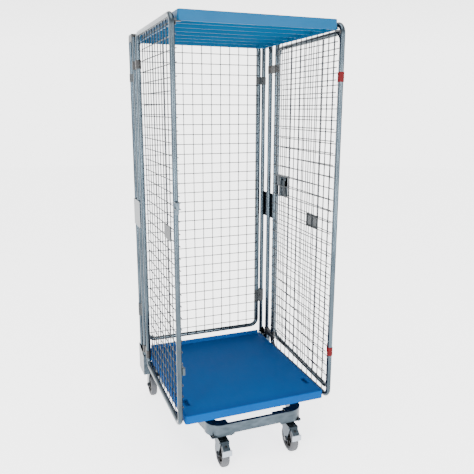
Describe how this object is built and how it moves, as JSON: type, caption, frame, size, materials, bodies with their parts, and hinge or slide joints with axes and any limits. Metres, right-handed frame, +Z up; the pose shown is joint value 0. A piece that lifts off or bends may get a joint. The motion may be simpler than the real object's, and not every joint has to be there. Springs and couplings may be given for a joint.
{
  "type": "roll cage container",
  "caption": "Security roll cage with a nesting steel base on casters, mesh sides and back, folding plastic deck and roof, and a mesh door folded back.",
  "frame": {"origin": "on the floor, under the middle of the overall box with the door folded back", "axes": "+Z up, -Y out of the open front, +X to the right seen from the front"},
  "size_m": [0.8005, 0.8767, 1.904],
  "materials": {
    "zinc_tube": "bright zinc-plated tube",
    "zinc_wire": "bright zinc-plated welded wire",
    "zinc_sheet": "zinc-plated pressed sheet steel",
    "zinc_fastener": "zinc-plated turned steel",
    "blue_deck": "moulded mid-blue plastic with a fine texture",
    "blue_roof": "moulded light-blue plastic with a fine texture",
    "black_plastic": "black moulded nylon",
    "grey_plastic": "dark grey moulded nylon",
    "red_plastic": "red moulded nylon",
    "white_plastic": "white moulded nylon",
    "tread": "grey non-marking rubber",
    "wheel_centre": "black moulded nylon wheel centre"
  },
  "bodies": {
    "cage": {"front_beam": "zinc_sheet", "left_leg": "zinc_sheet", "right_leg": "zinc_sheet", "caster_gussets": "zinc_sheet", "left_rear_foot": "zinc_sheet", "right_rear_foot": "zinc_sheet", "rear_cross_bar": "zinc_sheet", "left_hinge_post": "zinc_tube", "right_hinge_post": "zinc_tube", "left_rear_post": "zinc_tube", "right_rear_post": "zinc_tube", "post_caps": "black_plastic", "post_bridges": "grey_plastic", "mid_plates": "zinc_sheet", "back_frame": "zinc_tube", "back_mesh": "zinc_wire", "back_clamps": "grey_plastic", "clamp_bolts": "zinc_fastener", "deck_pins": "zinc_fastener", "roof_pins": "zinc_fastener", "front_caster_plates": "zinc_sheet", "rear_forks": "zinc_sheet", "rear_axles": "zinc_fastener", "caster_bolts": "zinc_fastener"},
    "deck": {"deck_panel": "blue_deck", "deck_pockets": "blue_deck"},
    "roof": {"roof_panel": "blue_roof"},
    "left_links": {"left_hinge_clips": "black_plastic"},
    "left_side": {"left_side_frame": "zinc_tube", "left_side_mesh": "zinc_wire", "left_label_plate": "grey_plastic", "left_panel_rests": "black_plastic", "latch_keeper": "zinc_sheet", "lower_keeper": "zinc_sheet"},
    "right_links": {"right_hinge_clips": "black_plastic"},
    "right_side": {"right_side_frame": "zinc_tube", "right_side_mesh": "zinc_wire", "right_label_plate": "grey_plastic", "right_panel_rests": "black_plastic"},
    "door_links": {"door_clips": "red_plastic"},
    "door": {"door_frame": "zinc_tube", "door_mesh": "zinc_wire", "latch_case": "zinc_sheet"},
    "bolt": {"latch_bolt": "zinc_sheet"},
    "left_swivel": {"left_front_fork": "zinc_sheet", "left_front_axle": "zinc_fastener"},
    "left_brake": {"left_brake_hood": "zinc_sheet", "left_brake_pedal": "white_plastic"},
    "left_front_wheel": {"left_front_tyre": "tread", "left_front_hub": "wheel_centre"},
    "left_rear_wheel": {"left_rear_tyre": "tread", "left_rear_hub": "wheel_centre"},
    "right_swivel": {"right_front_fork": "zinc_sheet", "right_front_axle": "zinc_fastener"},
    "right_brake": {"right_brake_hood": "zinc_sheet", "right_brake_pedal": "white_plastic"},
    "right_front_wheel": {"right_front_tyre": "tread", "right_front_hub": "wheel_centre"},
    "right_rear_wheel": {"right_rear_tyre": "tread", "right_rear_hub": "wheel_centre"}
  },
  "joints": [
    {"name": "deck_hinge", "type": "hinge", "parent": "cage", "child": "deck", "pos_m": [-0.0293, 0.3702, 0.251], "axis": [-1, 0, 0], "range_deg": [0, 88]},
    {"name": "roof_hinge", "type": "hinge", "parent": "cage", "child": "roof", "pos_m": [-0.0293, 0.3702, 1.883], "axis": [-1, 0, 0], "range_deg": [0, 95]},
    {"name": "left_clip_swing", "type": "hinge", "parent": "cage", "child": "left_links", "pos_m": [-0.3853, 0.3342, 1], "axis": [0, 0, -1], "range_deg": [0, 90]},
    {"name": "left_side_swing", "type": "hinge", "parent": "left_links", "child": "left_side", "pos_m": [-0.3853, 0.2532, 1], "axis": [0, 0, -1], "range_deg": [0, 90]},
    {"name": "right_clip_swing", "type": "hinge", "parent": "cage", "child": "right_links", "pos_m": [0.3267, 0.3342, 1], "axis": [0, 0, 1], "range_deg": [0, 30]},
    {"name": "right_side_swing", "type": "hinge", "parent": "right_links", "child": "right_side", "pos_m": [0.3267, 0.2532, 1], "axis": [0, 0, 1], "range_deg": [0, 8]},
    {"name": "door_clip_swing", "type": "hinge", "parent": "right_side", "child": "door_links", "pos_m": [0.3267, -0.3748, 1], "axis": [0, 0, -1], "range_deg": [0, 151.5]},
    {"name": "door_swing", "type": "hinge", "parent": "door_links", "child": "door", "pos_m": [0.3457, -0.3398, 1], "axis": [0, 0, -1], "range_deg": [0, 115.5]},
    {"name": "bolt_slide", "type": "slide", "parent": "door", "child": "bolt", "axis": [-0.0515, -0.9987, 0], "range_m": [0, 0.025]},
    {"name": "left_swivel", "type": "hinge", "parent": "cage", "child": "left_swivel", "pos_m": [-0.1963, -0.3378, 0.135], "axis": [0, 0, 1], "continuous": true},
    {"name": "left_front_roll", "type": "hinge", "parent": "left_swivel", "child": "left_front_wheel", "pos_m": [-0.1963, -0.3678, 0.0625], "axis": [1, 0, 0], "continuous": true},
    {"name": "left_brake", "type": "hinge", "parent": "left_swivel", "child": "left_brake", "pos_m": [-0.1963, -0.3958, 0.128], "axis": [1, 0, 0], "range_deg": [0, 5]},
    {"name": "left_rear_roll", "type": "hinge", "parent": "cage", "child": "left_rear_wheel", "pos_m": [-0.3473, 0.3732, 0.0625], "axis": [1, 0, 0], "continuous": true},
    {"name": "right_swivel", "type": "hinge", "parent": "cage", "child": "right_swivel", "pos_m": [0.1377, -0.3378, 0.135], "axis": [0, 0, 1], "continuous": true},
    {"name": "right_front_roll", "type": "hinge", "parent": "right_swivel", "child": "right_front_wheel", "pos_m": [0.1377, -0.3678, 0.0625], "axis": [1, 0, 0], "continuous": true},
    {"name": "right_brake", "type": "hinge", "parent": "right_swivel", "child": "right_brake", "pos_m": [0.1377, -0.3958, 0.128], "axis": [1, 0, 0], "range_deg": [0, 5]},
    {"name": "right_rear_roll", "type": "hinge", "parent": "cage", "child": "right_rear_wheel", "pos_m": [0.2887, 0.3732, 0.0625], "axis": [1, 0, 0], "continuous": true}
  ]
}
